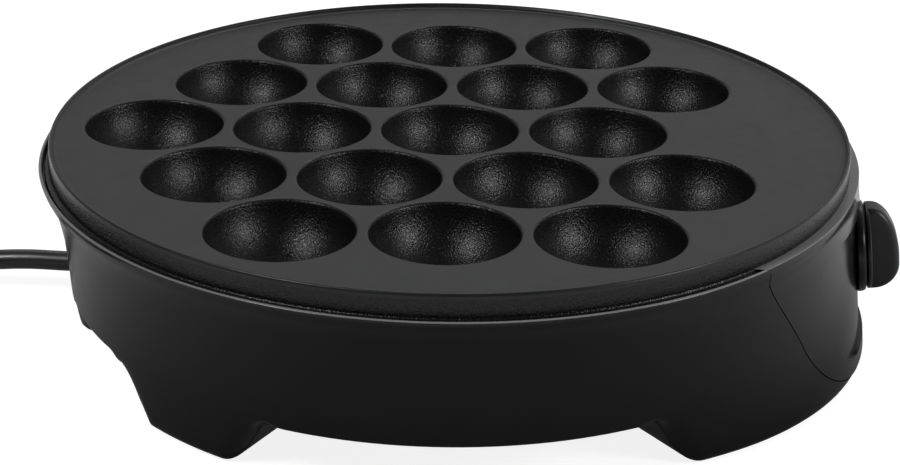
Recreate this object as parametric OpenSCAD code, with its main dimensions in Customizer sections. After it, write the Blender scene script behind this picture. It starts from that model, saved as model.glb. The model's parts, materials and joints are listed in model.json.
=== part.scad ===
// Round electric takoyaki maker: a cast cooking plate with eighteen pits that lifts
// off a moulded base, which holds the heater, its thermostat and the mains lead.
// +Z is up, +X points to the control panel, and the lead leaves on the -X side.
// The origin is on the table, under the middle of the outline without the lead.

/* [Cooking plate] */
// Radius of a pit's mouth
pit_r = 19.5; // [15:0.5:20]
// Depth of a pit
pit_depth = 17.5; // [12:0.5:18]
// Distance between neighbouring pits
pit_pitch = 42; // [42:0.5:43]
// Wall thickness of a pit
pit_wall = 2.6; // [2:0.1:3]
// Thickness of the plate's floor
plate_t = 3; // [2.5:0.1:4]
// Height of the cooking surface above the table
cook_h = 58; // [56:0.5:62]
// Width of the flat floor outside the outermost pits
floor_margin = 4; // [3:0.5:6]
// Width of the rim outside the flat floor
rim_w = 4.9; // [4:0.1:6]
// Height of the rim above the cooking surface
rim_rise = 1.3; // [1:0.1:3]
// Width of the flange that rests on the base
flange_w = 1.5; // [1.2:0.1:2]
// Thickness of that flange
flange_t = 1.2; // [1:0.1:1.4]

/* [Base] */
// Height of the cooking surface above the base's rim
plate_rise = 4.8; // [4.4:0.1:5]
// Distance from the rim in to the crease under it
crease_in = 2.1; // [1.6:0.1:2.6]
// Distance from the rim in to the lower edge of the wall
edge_in = 7.1; // [6.4:0.1:8]
// Height of the arches between the feet
arch_h = 15.5; // [14:0.5:17]
// Distance from the rim in to a foot's outside where it meets the table
foot_in = 8.7; // [8.2:0.1:11]
// Inner radius of the side feet and of the front skirt
foot_inner_r = 84; // [82:0.5:88]
// Thickness of the moulded walls
wall_t = 2.5; // [2:0.1:3]
// Thickness of the rim's upright lip
lip_t = 1; // [0.8:0.1:1.1]
// Angle from the front to the middle of a side foot
side_foot_at = 124.5; // [118:0.5:130]
// Angle that a side foot spans
side_foot_span = 20.5; // [16:0.5:24]
// Angle that the rear foot spans
rear_foot_span = 36; // [32:0.5:40]
// Angle that the front skirt spans
skirt_span = 101; // [92:1:104]

/* [Control panel] */
// Distance by which the front bulge's centre lies ahead of the plate's axis
nose_x = 26.5; // [24:0.5:28]
// Radius of the front bulge at the table
nose_low_r = 94.2; // [93.5:0.1:96]
// Radius of the front bulge at the rim
nose_high_r = 88.5; // [87:0.1:88.8]
// Depth of the recess round the knob
pocket_depth = 1.1; // [0.8:0.1:2]
// Height of the knob's axis above the table
knob_h = 28.8; // [26:0.2:30]
// Diameter of the knob
knob_d = 24.8; // [22:0.2:30]
// Length of the knob's grip
grip_len = 9.3; // [8:0.1:12]
// Thickness of the grip
grip_w = 8; // [7.6:0.2:12]
// Diameter of the fixed ring behind the knob
bezel_d = 26.2; // [24:0.2:32]
// Thickness of that ring
bezel_t = 2.2; // [1.6:0.1:4]
// Diameter of the thermostat's shaft
shaft_d = 6; // [5:0.1:7]
// Diameter of the pilot lamp's lens
lens_d = 5; // [4:0.1:7]

/* [Heater] */
// Diameter of the heating element's tube
element_d = 6.5; // [6:0.1:7]
// Radius of the element's ring
element_r = 57.4; // [56.5:0.1:58]
// Depth of the element's centre line below the cooking surface
element_drop = 20; // [20:0.1:22]
// Radius of the bends where the element's ends turn outwards
element_bend_r = 12; // [10:0.5:14]
// Half the distance between the element's two ends
element_half_gap = 13; // [12:0.1:14]
// Depth of the reflector's floor below the element's centre line
pan_drop = 11; // [10:0.1:12]
// Depth of the reflector's dish
pan_depth = 6; // [5:0.1:7]
// Radius of the reflector's floor
pan_floor_r = 78; // [77:0.5:79]
// Thickness of the reflector's sheet
pan_t = 0.8; // [0.6:0.1:1]

/* [Mains lead] */
// Diameter of the lead
cord_d = 6; // [5.6:0.1:6.2]
// Height at which the lead leaves the base
cord_h = 10; // [9.5:0.1:10.5]
// Turns in each of the coil's two layers
coil_turns = 2.4; // [2:0.1:3]
// Radius of the coil's innermost turn
coil_inner_r = 25; // [24:0.5:28]
// Distance between neighbouring turns
coil_pitch = 7.6; // [7.6:0.1:8.4]
// Height of the upper layer above the lower one
layer_rise = 7.4; // [7:0.1:8]
// Length of the plug's body
plug_len = 36; // [30:1:44]
// Width of the plug's body
plug_w = 26; // [24:0.5:32]
// Diameter of a plug pin
pin_d = 4.8; // [4:0.1:5]
// Length of a plug pin
pin_len = 19; // [17:0.5:20]
// Distance between the plug pins
pin_gap = 19; // [17:0.5:20]

/* [Hidden] */
$fn = 96;
eps = 0.01;

// Clearances: seat under a resting part, running fit of the shaft, hand fit of trim
seat_gap = 0.2;
running_gap = 0.05;
trim_gap = 0.2;
hole_gap = 0.3;
rim_gap = 0.5;

// Plate
floor_r = 2 * pit_pitch + pit_r + floor_margin;
plate_r = floor_r + rim_w;
flange_r = plate_r + flange_w;
rim_h = cook_h - plate_rise;
flange_top = rim_h - 0.6;
flange_low = flange_top - flange_t;
pit_ball_r = (pit_r * pit_r + pit_depth * pit_depth) / (2 * pit_depth);
pit_ball_h = cook_h - pit_depth + pit_ball_r;
row_step = pit_pitch * sin(60);
PITS = [
    for (row = [-2:2])
        let (count = 5 - abs(row))
            for (k = [0:count - 1])
                let (x = (k - (count - 1) / 2) * pit_pitch)
                    if (!(row == 0 && k == count - 1)) [x, row * row_step]
];
// The plate sits in the base turned by this angle
plate_turn = 5;
sensor_r = 2 * pit_pitch;

// Base
pad_proud = 0.6;
foot_low = pad_proud;
ledge_h = flange_low - seat_gap;
ledge_t = 2.5;
ledge_inner_r = plate_r - 5.9;
lip_inner_r = flange_r + rim_gap;
rim_r = lip_inner_r + lip_t;
crease_r = rim_r - crease_in;
edge_r = rim_r - edge_in;
foot_r = rim_r - foot_in;
crease_h = rim_h - 4.4;
floor_top = arch_h + wall_t;
cover_opening_r = 66;
cover_r = 73;
cover_t = 1.6;
cover_screw_r = 69.5;
rear_foot_inner_r = cover_r + 1;
WALL = [
    [foot_r, foot_low],
    [edge_r, arch_h],
    [edge_r + 1.3, arch_h + 16],
    [crease_r - 2.3, crease_h - 7.8],
    [crease_r, crease_h],
    [rim_r - 0.3, rim_h - 2.6],
    [rim_r, rim_h]
];

// Control panel: tilted with the bulge's slope
nose_slope = (nose_low_r - nose_high_r) / rim_h;
nose_tilt = atan(nose_slope);
function nose_reach(h) = nose_x + nose_low_r - nose_slope * h;
knob_x = nose_reach(knob_h);
panel_low = foot_low + 1;
panel_corner_r = 33.5;
panel_corner_y = 24;
panel_corner_to = -26;
panel_top_y = 75.2;
pocket_half_w = 47.3;
pocket_top = 44;
pocket_low = 5.5;
pocket_top_r = 7;
pocket_low_r = 18;
pocket_low_y = 23;
pocket_side = -22;
pocket_back_t = wall_t;
lens_y = 27;
lens_h = knob_h + 4;
bezel_out = bezel_t - pocket_depth;
knob_start = bezel_out + 0.4;
knob_end = knob_start + grip_len;
// The grip's two rounded corners: along the axis, and across it at each end
grip_round = 7.2;
grip_high_round = 11;
grip_low_round = 7.5;
panel_back = pocket_depth + pocket_back_t;
bracket_back = panel_back + 5.7;
thermostat_r = 12;
thermostat_len = 12;

// The outline without the lead, from the rim's back to the grip's front
reach_front = knob_x + max([
    for (p = grip_outline()) (p[1] * cos(nose_tilt) + p[0] * sin(nose_tilt))
]);
axis_x = (rim_r - reach_front) / 2;

// Heater
element_h = cook_h - element_drop;
pan_h = element_h - pan_drop;
pan_rim_h = pan_h + pan_depth;
pan_rim_r = 90;
pan_lip_r = 92;
pan_post_r = 80;
bend_y = element_half_gap + element_bend_r;
bend_x = sqrt(pow(element_r + element_bend_r, 2) - bend_y * bend_y);
bend_at = atan2(bend_y, bend_x);
element_end_x = 91;
BRACKET_AT = [90, 180, 270];
PAN_TOP = [
    [pan_lip_r, pan_rim_h], [pan_rim_r - 0.4, pan_rim_h],
    [pan_floor_r - 0.4, pan_h + pan_t], [0, pan_h + pan_t]
];
PAN_UNDER = [
    [pan_floor_r, pan_h], [pan_rim_r, pan_rim_h - pan_t], [pan_lip_r, pan_rim_h - pan_t]
];

// Mains lead: it leaves the base's rear foot and ends in the coil's first turn
boot_inner_r = 88;
boot_tip_r = 112;
boot_pocket_r = 92;
cord_r = cord_d / 2;
LEAD = [
    [0, 10], [3, 10], [6, 10], [11, 10], [16, 9.8], [21, 9.4], [26, 8.8], [31, 8], [36, 7.1],
    [41, 6.1], [46, 5.2], [51, 4.4], [55, 3.8], [59, 3.4], [63, 3.1], [66, 3], [69, 3]
];
lead_start_x = axis_x - boot_tip_r;
lead_end = LEAD[len(LEAD) - 1];
coil_outer_r = coil_inner_r + coil_pitch * coil_turns;
coil_x = lead_start_x - lead_end[0] - cord_d;
coil_y = -coil_outer_r;
coil_low = cord_r;
steps_per_turn = 24;
layer_steps = round(coil_turns * steps_per_turn);
climb_steps = steps_per_turn / 2;
coil_steps = 2 * layer_steps + climb_steps;

// Angle, radius and height along the coil, by step
function coil_angle(i) = 90 + 360 * i / steps_per_turn;
function coil_radius(i) =
    i <= layer_steps
        ? coil_outer_r - coil_pitch * i / steps_per_turn
        : i <= layer_steps + climb_steps
            ? coil_inner_r
            : coil_inner_r + coil_pitch * (i - layer_steps - climb_steps) / steps_per_turn;
function smooth(t) = t * t * (3 - 2 * t);
function coil_height(i) =
    coil_low + layer_rise * smooth(min(1, max(0, (i - layer_steps) / climb_steps)));
function coil_point(i) = [
    coil_x + coil_radius(i) * cos(coil_angle(i)),
    coil_y + coil_radius(i) * sin(coil_angle(i)),
    coil_height(i)
];
coil_end_at = coil_angle(coil_steps);
coil_out = [-sin(coil_end_at), cos(coil_end_at), 0];
COIL = concat(
    [coil_point(0) + [cord_d, 0, 0]],
    [for (i = [0:coil_steps]) coil_point(i)],
    [coil_point(coil_steps) + coil_out * cord_d]
);
coil_end = COIL[len(COIL) - 1];

// The least gap between the coil's turns, measured between its points
coil_gap = min([
    for (i = [0:len(COIL) - 1])
        for (j = [i + 9:1:len(COIL) - 1])
            norm(COIL[i] - COIL[j])
]) - cord_d;
echo(coil_gap = coil_gap);

// Plug
plug_boot_len = 24;
plug_h = coil_end[2];

// ---- Helpers ----

module at_axis() {
    translate([axis_x, 0, 0]) children();
}

module ring_at(r, angles) {
    for (a = angles) rotate([0, 0, a]) translate([r, 0, 0]) children();
}

// A wedge between two angles, up to 120 degrees wide
module wedge(from, to, high) {
    mid = (from + to) / 2;
    reach = 300;
    linear_extrude(height = high)
        polygon([
            [0, 0], [reach * cos(from), reach * sin(from)],
            [reach * cos(mid), reach * sin(mid)], [reach * cos(to), reach * sin(to)]
        ]);
}

// The base's round wall, drawn in by a thickness, from a height upwards
module round_form(inset, low, high) {
    above = [for (p = WALL) if (p[1] > low) p];
    low_r = lookup(low, [for (p = WALL) [p[1], p[0]]]);
    rotate_extrude()
        polygon(concat(
            [[0, low], [low_r - inset, low]],
            [for (p = above) [p[0] - inset, p[1]]],
            [[rim_r - inset, high], [0, high]]
        ));
}

// The front bulge, drawn in by a thickness
module nose_form(inset, low, high) {
    translate([nose_x, 0, low])
        cylinder(
            h = high - low,
            r1 = nose_low_r - nose_slope * low - inset,
            r2 = nose_low_r - nose_slope * high - inset
        );
}

// Everything inside the base's outer surface, drawn in by a thickness
module base_form(inset, low, high) {
    round_form(inset, low, high);
    nose_form(inset, low, high);
}

// The sector that a foot stands in, outside a radius
module foot_sector(from, to, inner_r, high) {
    difference() {
        wedge(from, to, high);
        translate([0, 0, -2]) cylinder(h = high + 4, r = inner_r);
    }
}

// The open space between the feet, up to a height; it gives way round the feet's hollows
module arches(inset, grow, high) {
    difference() {
        translate([0, 0, -1]) cylinder(h = high + 1, r = 160);
        translate([0, 0, -1]) {
            for (a = side_feet)
                foot_sector(a - side_half + inset, a + side_half - inset, foot_inner_r + grow, high + 2);
            foot_sector(180 - rear_half + inset, 180 + rear_half - inset, rear_foot_inner_r + grow, high + 2);
            foot_sector(-skirt_half + inset, skirt_half - inset, foot_inner_r + grow, high + 2);
        }
    }
}

// The shield-shaped outline of the control panel, seen from the front
module panel_outline(grow) {
    corner_h = panel_low + panel_corner_r;
    r = panel_corner_r + grow;
    join = [panel_corner_y + r * cos(panel_corner_to), corner_h + r * sin(panel_corner_to)];
    top = [panel_top_y + grow, rim_h + 1];
    half = concat(
        [for (t = [1:-0.125:0.125]) [
            join[0] + (top[0] - join[0]) * (0.62 * t + 0.38 * t * t),
            join[1] + (top[1] - join[1]) * t
        ]],
        [for (a = [panel_corner_to:-8:-90]) [panel_corner_y + r * cos(a), corner_h + r * sin(a)]]
    );
    polygon(concat(half, [for (i = [len(half) - 1:-1:0]) [-half[i][0], half[i][1]]]));
}

// The outline of the recess round the knob
module pocket_outline(grow) {
    low_r = pocket_low_r + grow;
    top_r = pocket_top_r + grow;
    top_y = pocket_half_w - pocket_top_r;
    low_mid = pocket_low + pocket_low_r;
    top_mid = pocket_top - pocket_top_r;
    half = concat(
        [for (a = [90:-14:pocket_side]) [top_y + top_r * cos(a), top_mid + top_r * sin(a)]],
        [for (a = [pocket_side:-8.5:-90]) [pocket_low_y + low_r * cos(a), low_mid + low_r * sin(a)]]
    );
    polygon(concat(half, [for (i = [len(half) - 1:-1:0]) [-half[i][0], half[i][1]]]));
}

// An outline seen from the front, carried through the front of the base
module from_front() {
    translate([60, 0, 0])
        rotate([90, 0, 90])
            linear_extrude(height = 80) children();
}

// Stand on the knob's axis, with +Z along it and 0 on the panel's outer surface
module on_knob_axis() {
    translate([knob_x, 0, knob_h]) rotate([0, 90 - nose_tilt, 0]) children();
}

// A tube swept through points, with a flat end at each end
function unit(v) = v / norm(v);
function heading(points, i) =
    unit(points[min(i + 1, len(points) - 1)] - points[max(i - 1, 0)]);
function carry(side, d) = unit(side - d * (side * d));
function sides_along(points, i, side) =
    i >= len(points)
        ? []
        : let (s = carry(side, heading(points, i)))
            concat([s], sides_along(points, i + 1, s));
module tube(points, r, sides) {
    count = len(points);
    first = abs(heading(points, 0)[2]) < 0.9 ? [0, 0, 1] : [1, 0, 0];
    across = sides_along(points, 0, first);
    ring = [
        for (i = [0:count - 1])
            let (d = heading(points, i), u = across[i], v = cross(d, u))
                for (k = [0:sides - 1])
                    points[i] + r * (cos(360 * k / sides) * u + sin(360 * k / sides) * v)
    ];
    skin = [
        for (i = [0:count - 2])
            for (k = [0:sides - 1])
                let (a = i * sides + k, b = i * sides + (k + 1) % sides)
                    for (f = [[a, b + sides, b], [a, a + sides, b + sides]]) f
    ];
    caps = [
        for (k = [1:sides - 2])
            for (f = [[0, k, k + 1], [0, k + 1, k] + [1, 1, 1] * (count - 1) * sides]) f
    ];
    polyhedron(points = ring, faces = concat(skin, caps), convexity = 10);
}

// A pan-head screw that points down, with the underside of its head at zero
module screw(d, len, head_d) {
    head_t = d * 0.6;
    difference() {
        union() {
            cylinder(h = head_t, d = head_d);
            translate([0, 0, -len]) cylinder(h = len + eps, d = d);
        }
        for (a = [0, 90])
            rotate([0, 0, a])
                translate([-head_d / 4, -d / 10, head_t / 2]) cube([head_d / 2, d / 5, head_t]);
    }
}

screw_d = 3;
screw_hole_d = 3.1;
screw_head_d = 5.6;
POST_AT = [45, 135, 225, 315];
COVER_AT = [30, 90, 150, 210, 270, 330];
side_feet = [-side_foot_at, side_foot_at];
rear_half = rear_foot_span / 2;
side_half = side_foot_span / 2;
skirt_half = skirt_span / 2;
end_inset = 1.6;

// ---- Base ----

module base_shell() {
    color("#1d1d1f") at_axis() {
        difference() {
            base_form(0, foot_low, rim_h);
            arches(0, 0, arch_h);
            base_hollow();
            panel_opening();
            translate([0, 0, arch_h - 1]) cylinder(h = wall_t + 2, r = cover_opening_r);
            cord_pocket(0);
            translate([-boot_pocket_r - 1, 0, cord_h])
                rotate([0, 90, 0]) cylinder(h = 6, d = boot_d + 2 * hole_gap);
            rubber_seats();
            ring_at(cover_screw_r, COVER_AT)
                translate([0, 0, arch_h - 1]) cylinder(h = 9, d = screw_hole_d);
        }
        ledge();
        pan_posts();
        cover_bosses();
    }
}

module base_hollow() {
    low = foot_low + wall_t;
    difference() {
        base_form(wall_t, low, ledge_h);
        arches(end_inset, wall_t, floor_top);
        cord_pocket(wall_t);
    }
    translate([0, 0, ledge_h - 0.5]) cylinder(h = 10, r = lip_inner_r);
}

// The recess in the rear foot that the lead leaves from
boot_d = 10;
module cord_pocket(grow) {
    half_w = 9 + grow;
    high = cord_h + 6 + grow;
    translate([-boot_tip_r - 10, -half_w, cord_h - 7 - grow])
        cube([boot_tip_r + 10 - boot_pocket_r + grow, 2 * half_w, high - cord_h + 7 + grow]);
}

// The step inside the rim that the plate's flange rests on
module ledge() {
    difference() {
        translate([0, 0, ledge_h - ledge_t]) cylinder(h = ledge_t, r = crease_r - 0.6);
        translate([0, 0, ledge_h - ledge_t - 1]) cylinder(h = ledge_t + 2, r = ledge_inner_r);
        panel_opening();
    }
}

module pan_posts() {
    ring_at(pan_post_r, POST_AT)
        translate([0, 0, arch_h + 1])
            difference() {
                cylinder(h = pan_h - arch_h - 1, d = 7);
                translate([0, 0, 2]) cylinder(h = 20, d = screw_hole_d);
            }
}

module cover_bosses() {
    ring_at(cover_screw_r, COVER_AT)
        translate([0, 0, arch_h + 1])
            difference() {
                cylinder(h = 8, d = 6.4);
                translate([0, 0, -2]) cylinder(h = 8.5, d = screw_hole_d);
            }
}

module panel_opening() {
    difference() {
        intersection() {
            from_front() panel_outline(trim_gap);
            base_form(-1, panel_low - trim_gap, rim_h + 1);
        }
        base_form(wall_t + trim_gap, 0, rim_h + 2);
    }
}

module rubber_seats() {
    for (p = PADS) translate([p[0], p[1], -1]) cylinder(h = foot_low + 1 + pad_seat, d = pad_d + 0.2);
}

pad_d = 10;
pad_seat = 1;
side_pad_r = 94;
PADS = [
    for (a = concat(side_feet, [-36, 36])) side_pad_r * [cos(a), sin(a)],
    for (a = [180 - 11, 180 + 11]) 95 * [cos(a), sin(a)]
];

module rubber_feet() {
    color("#141414") at_axis()
        for (p = PADS) translate([p[0], p[1], 0]) cylinder(h = pad_proud + pad_seat, d = pad_d);
}

module bottom_cover() {
    slot_l = 22;
    slot_w = 3;
    color("#8d8f92") at_axis()
        translate([0, 0, arch_h - cover_t])
            difference() {
                cylinder(h = cover_t, r = cover_r);
                ring_at(cover_screw_r, COVER_AT)
                    translate([0, 0, -1]) cylinder(h = cover_t + 2, d = screw_hole_d + 0.3);
                ring_at(30, [0:30:330])
                    translate([0, -slot_w / 2, -1]) cube([slot_l, slot_w, cover_t + 2]);
            }
}

module cover_screws() {
    color("#b5b7ba") at_axis()
        ring_at(cover_screw_r, COVER_AT)
            translate([0, 0, arch_h - cover_t]) mirror([0, 0, 1]) screw(screw_d, 7, screw_head_d);
}

// ---- Control panel ----

module panel_layer(from, to) {
    difference() {
        base_form(from, panel_low, rim_h);
        base_form(to, 0, rim_h + 1);
        translate([0, 0, ledge_h - 0.2]) cylinder(h = 10, r = lip_inner_r);
    }
}

module control_panel() {
    color("#1f1f21") at_axis() {
        difference() {
            union() {
                intersection() {
                    panel_layer(0, wall_t);
                    from_front() panel_outline(0);
                }
                intersection() {
                    panel_layer(pocket_depth, panel_back);
                    from_front() pocket_outline(2);
                }
            }
            intersection() {
                panel_layer(-1, pocket_depth);
                from_front() pocket_outline(0);
            }
            on_knob_axis() translate([0, 0, -panel_back - 2]) cylinder(h = 12, d = shaft_d + 2 * hole_gap);
            translate([0, lens_y, lens_h])
                rotate([0, 90, 0]) cylinder(h = 150, d = lens_d + 0.1);
        }
        bracket_bosses();
    }
}

boss_y = 15.2;
module bracket_bosses() {
    on_knob_axis()
        for (y = [-boss_y, boss_y])
            translate([0, y, -bracket_back])
                difference() {
                    cylinder(h = bracket_back - panel_back + 0.6, d = 6);
                    translate([0, 0, -1]) cylinder(h = bracket_back - panel_back, d = screw_hole_d);
                }
}

module knob_bezel() {
    color("#242427") at_axis()
        on_knob_axis()
            difference() {
                translate([0, 0, -pocket_depth]) cylinder(h = bezel_t, d1 = bezel_d, d2 = bezel_d - 1.6);
                translate([0, 0, -pocket_depth - 1]) cylinder(h = bezel_t + 2, d = shaft_d + 2 * hole_gap);
            }
}

// Outline of the grip: up or down from the knob's axis, and out along it
function grip_outline() = let (r = knob_d / 2) concat(
    [[r, knob_start]],
    [for (a = [0:15:90]) [
        r - grip_low_round * (1 - cos(a)), knob_end - grip_round * (1 - sin(a))
    ]],
    [for (a = [90:-15:0]) [
        -r + grip_high_round * (1 - cos(a)), knob_end - grip_round * (1 - sin(a))
    ]],
    [[-r, knob_start]]
);

module control_knob() {
    flange = 1.2;
    color("#38383b") at_axis()
        on_knob_axis()
            difference() {
                union() {
                    translate([0, 0, knob_start]) cylinder(h = flange, d = knob_d);
                    translate([0, grip_w / 2, 0])
                        rotate([90, 0, 0]) linear_extrude(height = grip_w) polygon(grip_outline());
                }
                translate([0, 0, knob_start - 1])
                    cylinder(h = grip_len - 1, d = shaft_d + 2 * running_gap);
            }
}

shaft_in = 6;
module thermostat_shaft() {
    color("#b9bbbe") at_axis()
        on_knob_axis()
            translate([0, 0, -bracket_back - shaft_in])
                cylinder(h = bracket_back + shaft_in + knob_end - 2.5, d = shaft_d);
}

module thermostat_body() {
    color("#e4dfd2") at_axis()
        on_knob_axis()
            translate([0, 0, -bracket_back - bracket_t - thermostat_len])
                difference() {
                    cylinder(h = thermostat_len, r = thermostat_r);
                    translate([0, 0, thermostat_len - shaft_in])
                        cylinder(h = shaft_in + 1, d = shaft_d + 2 * running_gap);
                }
}

bracket_t = 1.2;
module thermostat_bracket() {
    half_h = 10;
    half_w = boss_y + 3.6;
    color("#a9abad") at_axis()
        on_knob_axis()
            translate([0, 0, -bracket_back - bracket_t])
                difference() {
                    translate([-half_h, -half_w, 0]) cube([2 * half_h, 2 * half_w, bracket_t]);
                    translate([0, 0, -1]) cylinder(h = 4, d = shaft_d + 1);
                    for (y = [-boss_y, boss_y])
                        translate([0, y, -1]) cylinder(h = 4, d = screw_hole_d + 0.2);
                }
}

module thermostat_screws() {
    color("#b5b7ba") at_axis()
        on_knob_axis()
            for (y = [-boss_y, boss_y])
                translate([0, y, -bracket_back - bracket_t])
                    mirror([0, 0, 1]) screw(screw_d, 5, 5);
}

lens_out = nose_reach(lens_h) - nose_x;
lens_face_x = nose_x + sqrt(pow(lens_out, 2) - pow(lens_y, 2)) - pocket_depth;
lens_back = 5.2;
lamp_len = 14;
module at_lens() {
    translate([lens_face_x - lens_back, lens_y, lens_h]) rotate([0, 90, 0]) children();
}

module pilot_lens() {
    color("#c8321e") at_axis() at_lens() {
        cylinder(h = lens_back + 0.6, d = lens_d);
        cylinder(h = 1.2, d = lens_d + 2);
    }
}

module pilot_lamp() {
    color("#f0a050") at_axis() at_lens() translate([0, 0, -lamp_len]) cylinder(h = lamp_len, d = lens_d);
}

// ---- Cooking plate ----

module cooking_plate() {
    inner_top = cook_h + rim_rise;
    cove_r = plate_r - 0.9 - floor_r;
    under = cook_h - plate_t;
    side_inner_r = plate_r - 3;
    color("#2b2b2d") at_axis() rotate([0, 0, plate_turn])
        difference() {
            union() {
                rotate_extrude()
                    polygon(concat(
                        [[0, under], [0, cook_h], [floor_r, cook_h]],
                        [for (t = [0.25, 0.5, 0.75]) [floor_r + cove_r * t, cook_h + rim_rise * t * t]],
                        [
                            [floor_r + cove_r, inner_top], [plate_r - 0.2, inner_top - 0.2],
                            [plate_r, inner_top - 1], [plate_r, flange_top + 0.5],
                            [flange_r - 0.3, flange_top], [flange_r, flange_top - 0.3],
                            [flange_r, flange_low], [side_inner_r, flange_low],
                            [side_inner_r - 0.8, under]
                        ]
                    ));
                for (p = PITS) translate([p[0], p[1], pit_ball_h]) pit_bulb();
            }
            for (p = PITS) translate([p[0], p[1], pit_ball_h]) sphere(r = pit_ball_r);
        }
}

// The outside of a pit: the lower part of a ball, up to the plate's floor
module pit_bulb() {
    r = pit_ball_r + pit_wall;
    cut = pit_ball_h - cook_h + plate_t / 2;
    intersection() {
        sphere(r = r);
        translate([-r - 1, -r - 1, -r - 1]) cube([2 * r + 2, 2 * r + 2, r + 1 - cut]);
    }
}

// ---- Heater ----

module reflector_pan() {
    color("#b9bcc0") at_axis()
        difference() {
            union() {
                rotate_extrude() polygon(concat(PAN_TOP, [[0, pan_h]], PAN_UNDER));
                // flat seats pressed down onto the posts
                intersection() {
                    rotate_extrude() polygon(concat(PAN_TOP, [[0, pan_h], [pan_lip_r, pan_h]]));
                    ring_at(pan_post_r, POST_AT) translate([0, 0, pan_h]) cylinder(h = 6, d = 9.6);
                }
            }
            ring_at(pan_post_r, POST_AT) {
                translate([0, 0, pan_h + pan_t]) cylinder(h = 6, d = 8);
                translate([0, 0, pan_h - 1]) cylinder(h = 4, d = screw_hole_d + 0.2);
            }
        }
}

module reflector_screws() {
    color("#b5b7ba") at_axis()
        ring_at(pan_post_r, POST_AT)
            translate([0, 0, pan_h + pan_t]) screw(screw_d, 6, 5);
}

module element_arc(r, from, to) {
    rotate([0, 0, from])
        rotate_extrude(angle = to - from) translate([r, 0]) circle(d = element_d);
}

module heating_element() {
    color("#6f6a66") at_axis() translate([0, 0, element_h]) {
        element_arc(element_r, bend_at, 360 - bend_at);
        for (s = [1, -1]) {
            mirror([0, s < 0 ? 1 : 0, 0]) {
                translate([bend_x, bend_y, 0]) element_arc(element_bend_r, 180 + bend_at, 270);
                translate([bend_x, element_half_gap, 0])
                    rotate([0, 90, 0]) cylinder(h = element_end_x - bend_x, d = element_d);
            }
        }
    }
}

bead_l = 4;
pin_tip_l = 8;
module element_terminals() {
    for (s = [1, -1])
        color("#ddd8cc") at_axis()
            translate([element_end_x, s * element_half_gap, element_h])
                rotate([0, 90, 0]) {
                    cylinder(h = bead_l, d = 7);
                    cylinder(h = bead_l + pin_tip_l, d = 3);
                }
}

module element_brackets() {
    t = 1.2;
    w = 10;
    base_h = pan_h + pan_t;
    color("#a9abad") at_axis()
        ring_at(element_r, BRACKET_AT) {
            difference() {
                translate([-w / 2, -t / 2, base_h]) cube([w, t, element_h - base_h]);
                translate([0, 0, element_h])
                    rotate([90, 0, 0]) cylinder(h = 4, d = element_d + 2 * running_gap, center = true);
            }
            translate([-w / 2, -t / 2, base_h]) cube([w, 8, t]);
        }
}

sensor_d = 16;
sensor_t = 5;
module sensor_cup() {
    under = cook_h - plate_t - hole_gap;
    color("#b87a4a") at_axis()
        translate([sensor_r, 0, under - sensor_t]) cylinder(h = sensor_t, d = sensor_d);
}

module sensor_bracket() {
    t = 1.2;
    w = 8;
    top = cook_h - plate_t - hole_gap - sensor_t;
    post_x = pan_floor_r - 5;
    low = pan_h + pan_t;
    color("#a9abad") at_axis() {
        translate([post_x, -w / 2, low]) cube([t, w, top - low]);
        translate([post_x, -w / 2, top - t]) cube([sensor_r + 4 - post_x, w, t]);
        translate([post_x - 9, -w / 2, low]) cube([9 + eps, w, t]);
    }
}

module sensor_capillary() {
    start_x = sensor_r + sensor_d / 2 - 1.2;
    top = cook_h - plate_t - hole_gap - sensor_t;
    end_x = knob_x - bracket_back - bracket_t - 5;
    end_h = knob_h - (bracket_back + bracket_t + 5) * tan(nose_tilt) + thermostat_r + 0.3;
    color("#c9a27a") at_axis()
        tube([
            [start_x, 0, top], [start_x, 0, top - 2], [start_x + 0.6, 0, top - 4],
            [start_x + 2, 0, top - 6], [end_x - 3.5, 0, end_h + 4.5], [end_x - 1, 0, end_h + 3],
            [end_x, 0, end_h + 1.5], [end_x, 0, end_h]
        ], 0.8, 8);
}

fuse_x = -22;
fuse_d = 4;
fuse_h = pan_h + pan_t + fuse_d / 2 + 0.2;
module thermal_fuse() {
    color("#d8d2c4") at_axis()
        translate([fuse_x, 0, fuse_h]) rotate([90, 0, 0]) cylinder(h = 20, d = fuse_d, center = true);
}

module fuse_clip() {
    w = 6;
    t = 0.8;
    arch_r = fuse_d / 2 + 0.1;
    base = pan_h + pan_t;
    color("#a9abad") at_axis()
        translate([fuse_x, 0, 0])
            difference() {
                union() {
                    translate([0, 0, fuse_h])
                        rotate([90, 0, 0]) cylinder(h = w, r = arch_r + t, center = true);
                    translate([-9, -w / 2, base]) cube([18, w, t]);
                }
                translate([0, 0, fuse_h]) rotate([90, 0, 0]) cylinder(h = w + 2, r = arch_r, center = true);
                translate([-10, -w, base - 10]) cube([20, 2 * w, 10]);
            }
}

// ---- Wiring ----

block_at = 149;
block_r = 90;
block_l = 22;
block_w = 15;
block_t = 7;
module at_block() {
    rotate([0, 0, block_at]) translate([block_r, 0, floor_top]) children();
}

module terminal_block() {
    color("#dcdcd6") at_axis() at_block()
        difference() {
            translate([-block_w / 2, -block_l / 2, 0]) cube([block_w, block_l, block_t]);
            for (y = [-6, 6]) {
                translate([0, y, block_t / 2])
                    rotate([0, 90, 0]) cylinder(h = block_w + 2, d = 2.8, center = true);
                translate([0, y, block_t / 2]) cylinder(h = block_t, d = 3.2);
            }
        }
}

module terminal_screws() {
    color("#c9a24a") at_axis() at_block()
        for (y = [-6, 6]) translate([0, y, block_t / 2 + 1.5]) cylinder(h = 1.8, d = 3);
}

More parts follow.
